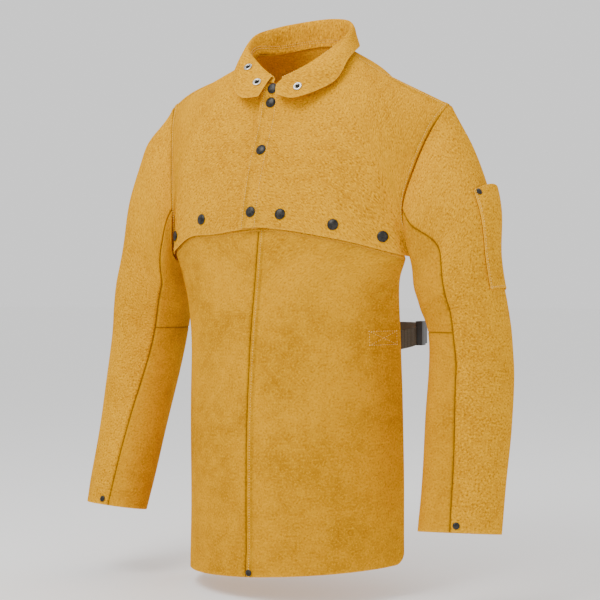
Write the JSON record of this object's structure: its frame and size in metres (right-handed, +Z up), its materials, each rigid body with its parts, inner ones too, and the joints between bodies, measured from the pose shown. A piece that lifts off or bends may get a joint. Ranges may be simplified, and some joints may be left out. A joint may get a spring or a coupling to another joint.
{
  "type": "leather welding cape sleeve with bib",
  "caption": "Suede leather welder's cape with full sleeves, turned-down snap collar, snap-fastened bib, waist strap and sleeve pocket.",
  "frame": {"origin": "middle of the neck opening, level with the side of the neck", "axes": "+Z up, the wearer faces -Y, the wearer's left is +X"},
  "size_m": [0.6436, 0.293, 0.7875],
  "materials": {
    "suede": "split cowhide suede, matt, golden yellow",
    "dark_metal": "blackened brass, semi-gloss",
    "nickel": "nickel plated",
    "webbing": "woven, matt, olive grey",
    "buckle_plastic": "moulded, satin"
  },
  "bodies": {
    "cape": {"bib_band": "suede", "cape_back": "suede", "cape_front_left": "suede", "cape_front_right": "suede", "collar_fall": "suede", "collar_snap_1": "nickel", "collar_snap_2": "nickel", "collar_snap_3": "nickel", "collar_stand": "suede", "front_snap_1_cap": "dark_metal", "front_snap_1_socket": "nickel", "front_snap_1_stud": "nickel", "front_snap_2_cap": "dark_metal", "front_snap_2_socket": "nickel", "front_snap_2_stud": "nickel", "front_snap_3_cap": "dark_metal", "front_snap_3_socket": "nickel", "front_snap_3_stud": "nickel", "hem_snap_1_cap": "dark_metal", "hem_snap_1_socket": "nickel", "hem_snap_1_stud": "nickel", "hem_snap_2_cap": "dark_metal", "hem_snap_2_socket": "nickel", "hem_snap_2_stud": "nickel", "hem_snap_3_cap": "dark_metal", "hem_snap_3_socket": "nickel", "hem_snap_3_stud": "nickel", "hem_snap_4_cap": "dark_metal", "hem_snap_4_socket": "nickel", "hem_snap_4_stud": "nickel", "hem_snap_5_cap": "dark_metal", "hem_snap_5_socket": "nickel", "hem_snap_5_stud": "nickel", "neck_snap_cap": "dark_metal", "neck_snap_socket": "nickel", "neck_snap_stud": "nickel", "sleeve_outer_cap_left": "suede", "sleeve_outer_cap_right": "suede", "sleeve_under_cap_left": "suede", "sleeve_under_cap_right": "suede"},
    "bib": {"bib_panel_left": "suede", "bib_panel_right": "suede", "buckle_plug": "buckle_plastic", "buckle_socket": "buckle_plastic", "rivet_bib_hem": "dark_metal", "waist_strap_left": "webbing", "waist_strap_right": "webbing"},
    "sleeve_lower_left": {"rivet_cuff_left": "dark_metal", "sleeve_outer_lower_left": "suede", "sleeve_under_lower_left": "suede"},
    "sleeve_lower_right": {"rivet_cuff_right": "dark_metal", "sleeve_outer_lower_right": "suede", "sleeve_under_lower_right": "suede"},
    "sleeve_upper_left": {"rivet_pocket": "dark_metal", "sleeve_outer_upper_left": "suede", "sleeve_pocket": "suede", "sleeve_under_upper_left": "suede"},
    "sleeve_upper_right": {"sleeve_outer_upper_right": "suede", "sleeve_under_upper_right": "suede"}
  },
  "joints": [
    {"name": "shoulder_left", "type": "hinge", "parent": "cape", "child": "sleeve_upper_left", "pos_m": [0.2525, 0, -0.1455], "axis": [0, -1, 0], "range_deg": [0, 25]},
    {"name": "shoulder_right", "type": "hinge", "parent": "cape", "child": "sleeve_upper_right", "pos_m": [-0.2755, 0, -0.1215], "axis": [0, 1, 0], "range_deg": [0, 25]},
    {"name": "elbow_left", "type": "hinge", "parent": "sleeve_upper_left", "child": "sleeve_lower_left", "pos_m": [0.258, -0.0812, -0.3898], "axis": [-1, 0, 0], "range_deg": [0, 50]},
    {"name": "elbow_right", "type": "hinge", "parent": "sleeve_upper_right", "child": "sleeve_lower_right", "pos_m": [-0.258, -0.0812, -0.3877], "axis": [-1, 0, 0], "range_deg": [0, 50]},
    {"name": "bib_swing", "type": "hinge", "parent": "cape", "child": "bib", "pos_m": [0, -0.13, -0.254], "axis": [-1, 0, 0], "range_deg": [0, 45]}
  ]
}
